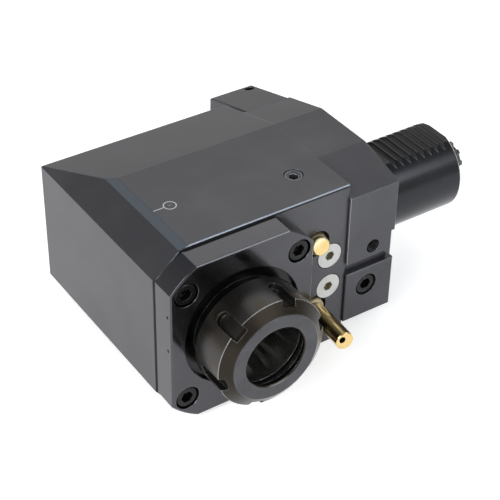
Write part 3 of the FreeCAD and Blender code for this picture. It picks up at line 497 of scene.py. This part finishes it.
finishes = {
    "housing": oxideSteel(housingLook, housingMarks),
    "cover": oxideSteel(coverLook),
    "flange": oxideSteel(flangeLook, shankZone),
    "block": oxideSteel(blockLook),
    "screw": turnedSteel(screwLook),
    "nut": turnedSteel(nutLook, nutZone),
    "ring": turnedSteel(ringLook),
    "labyrinth": turnedSteel(labyrinthLook),
    "ground": turnedSteel(boreLook, boreStreaks),
    "shaft": turnedSteel(shaftLook),
    "bearing": turnedSteel(bearingLook),
    "brass": turnedSteel(brassLook, ballZone),
    "plug": turnedSteel(plugLook),
    "zinc": turnedSteel(zincLook, socketZone),
    "rubber": sealRubber(rubberLook),
}
wearers = {
    "housing": ["housing", "rear_cap"],
    "cover": ["spindle_cover"],
    "flange": ["shank_flange"],
    "block": ["front_alignment_block", "rear_alignment_block"],
    "plug": ["top_plug"],
    "screw": ["cover_screws", "flange_screws", "front_block_screw", "rear_block_screws", "rear_cap_screws",
              "retaining_ring", "dowel_pins", "lower_nozzle_seat", "upper_nozzle_seat"],
    "nut": ["collet_nut"],
    "ring": ["clamping_ring"],
    "labyrinth": ["labyrinth_ring"],
    "ground": ["spindle", "spindle_gear", "spindle_key", "spindle_spacer", "spindle_lock_nut"],
    "shaft": ["drive_shaft", "drive_pinion", "pinion_key", "pinion_screw", "drive_lock_nut"],
    "bearing": [name for name in nodes if "bearing" in name],
    "brass": ["lower_nozzle", "upper_nozzle", "coolant_inlet"],
    "zinc": ["nozzle_clamp_screws"],
    "rubber": ["flange_seal", "cover_seal", "shaft_seal"],
}
for finish, names in wearers.items():
    for name in names:
        nodes[name].data.materials.clear()
        nodes[name].data.materials.append(finishes[finish])
print("finishes set on", sum(len(names) for names in wearers.values()), "nodes")


# Pieces that the solids leave out

def addObject(name, shape, material):
    mesh = bpy.data.meshes.new(name)
    shape.to_mesh(mesh)
    shape.free()
    made = bpy.data.objects.new(name, mesh)
    bpy.context.collection.objects.link(made)
    made.data.materials.append(material)
    return made


def makeHoleThread():
    # Thread turns in the tapped hole of the flange's front
    look = {
        "middle": (-11.85, 3.8),
        "mouth": -39.8,
        "core": 3.4,
        "root": 0.03,
        "height": 0.42,
        "half": 0.5,
        "pitch": 1.25,
        "start": 0.5,
        "turns": 9,
        "turnSteps": 40,
    }
    shape = bmesh.new()
    x, z = look["middle"]
    first = look["mouth"] + look["start"] + look["half"]
    outer, inner = look["core"] + look["root"], look["core"] - look["height"]
    corners = [(outer, first - look["half"]), (outer, first + look["half"]), (inner, first)]
    points = [shape.verts.new(Vector((x + radius, y, z)) * mm) for radius, y in corners]
    sides = [shape.edges.new((points[i], points[(i + 1) % 3])) for i in range(3)]
    bmesh.ops.spin(shape, geom=points + sides, cent=Vector((x, first, z)) * mm, axis=(0, 1, 0),
                   dvec=(0, look["pitch"] * mm / look["turnSteps"], 0), angle=2 * math.pi * look["turns"],
                   steps=look["turnSteps"] * look["turns"], use_duplicate=False)
    bmesh.ops.holes_fill(shape, edges=[e for e in shape.edges if e.is_boundary], sides=3)
    bmesh.ops.recalc_face_normals(shape, faces=shape.faces)
    thread = addObject("flange_hole_thread", shape, finishes["labyrinth"])
    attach(thread, "housing_body")


makeHoleThread()
print("thread turns made")


# Stage, lights and camera

def makeFloor():
    # White table that glows for the camera and in reflections
    look = {"reach": 4.0, "gap": 0.02, "albedo": 0.82, "roughness": 0.9, "glow": 0.5}
    shape = bmesh.new()
    bmesh.ops.create_grid(shape, x_segments=1, y_segments=1, size=look["reach"])
    bmesh.ops.translate(shape, vec=(0, 0, floorHeight - look["gap"] * mm), verts=shape.verts)
    material = bpy.data.materials.new("floorWhite")
    paint = Paint(material)
    shader = paint.tree.nodes["Principled BSDF"]
    shader.inputs["Base Color"].default_value = (look["albedo"],) * 3 + (1.0,)
    shader.inputs["Roughness"].default_value = look["roughness"]
    shader.inputs["Specular IOR Level"].default_value = 0.0
    shader.inputs["Emission Color"].default_value = (1, 1, 1, 1)
    rays = [paint.node("ShaderNodeLightPath", output="Is %s Ray" % kind)
            for kind in ("Camera", "Glossy", "Transmission")]
    glow = rays[0].larger(rays[1]).larger(rays[2]) * look["glow"]
    paint.plug(shader.inputs["Emission Strength"], glow)
    addObject("floor", shape, material)


def makeWorld():
    # Pale room: white round the horizon, greyer and cooler overhead
    look = {"light": 0.62, "overhead": 0.5, "low": (1.0, 0.985, 0.96), "high": (0.93, 0.97, 1.04),
            "heights": (0.1, 0.95)}
    world = bpy.data.worlds.new("paleRoom")
    bpy.context.scene.world = world
    paint = Paint(world)
    height = paint.split(paint.node("ShaderNodeTexCoord", output=0))[2]
    raised = height.above(*look["heights"])
    strength = (1.0 - raised * (1.0 - look["overhead"])) * look["light"]
    seen = paint.node("ShaderNodeLightPath", output="Is Camera Ray")
    back = paint.tree.nodes["Background"]
    paint.plug(back.inputs["Color"], paint.mix(raised, look["low"], look["high"]))
    paint.plug(back.inputs["Strength"], strength * (1.0 - seen) + seen)


def aim(thing, place, target):
    thing.location = place
    thing.rotation_euler = (Vector(target) - Vector(place)).to_track_quat("-Z", "Y").to_euler()


def makeLamps():
    target = (-0.06, 0.0, 0.0)
    lamps = {
        "leftSoft": {"place": (-0.9, -0.35, 0.55), "size": (0.8, 0.6), "power": 9.0, "tint": (1, 1, 1)},
        "frontSoft": {"place": (0.25, -0.9, 0.65), "size": (0.9, 0.4), "power": 5.5, "tint": (0.95, 0.98, 1)},
        "topSoft": {"place": (0.3, 0.6, 0.8), "size": (1.1, 0.6), "power": 2.4, "tint": (1, 0.99, 0.96)},
    }
    for name, look in lamps.items():
        lamp = bpy.data.lights.new(name, "AREA")
        lamp.shape = "RECTANGLE"
        lamp.size, lamp.size_y = look["size"]
        lamp.energy = look["power"]
        lamp.color = look["tint"]
        holder = bpy.data.objects.new(name, lamp)
        bpy.context.collection.objects.link(holder)
        aim(holder, look["place"], target)


def makeCamera():
    look = {"place": (-0.3371, -0.4225, 0.3770), "azimuth": -34.36, "elevation": 37.02, "roll": 1.14,
            "lens": 104.95, "sensor": 36.0}
    azimuth, elevation, roll = (math.radians(look[key]) for key in ("azimuth", "elevation", "roll"))
    back = Vector((math.sin(azimuth) * math.cos(elevation), -math.cos(azimuth) * math.cos(elevation),
                   math.sin(elevation)))
    right = Vector((math.cos(azimuth), math.sin(azimuth), 0))
    up = back.cross(right)
    turnedRight = right * math.cos(roll) + up * math.sin(roll)
    turnedUp = up * math.cos(roll) - right * math.sin(roll)
    data = bpy.data.cameras.new("camera")
    data.lens = look["lens"]
    data.sensor_width = look["sensor"]
    data.sensor_fit = "HORIZONTAL"
    camera = bpy.data.objects.new("camera", data)
    bpy.context.collection.objects.link(camera)
    turn = Matrix((turnedRight, turnedUp, back)).transposed().to_4x4()
    camera.matrix_world = Matrix.Translation(look["place"]) @ turn
    bpy.context.scene.camera = camera


makeFloor()
makeWorld()
makeLamps()
makeCamera()
bpy.context.scene.view_settings.view_transform = "Standard"
print("stage, lamps and camera set")
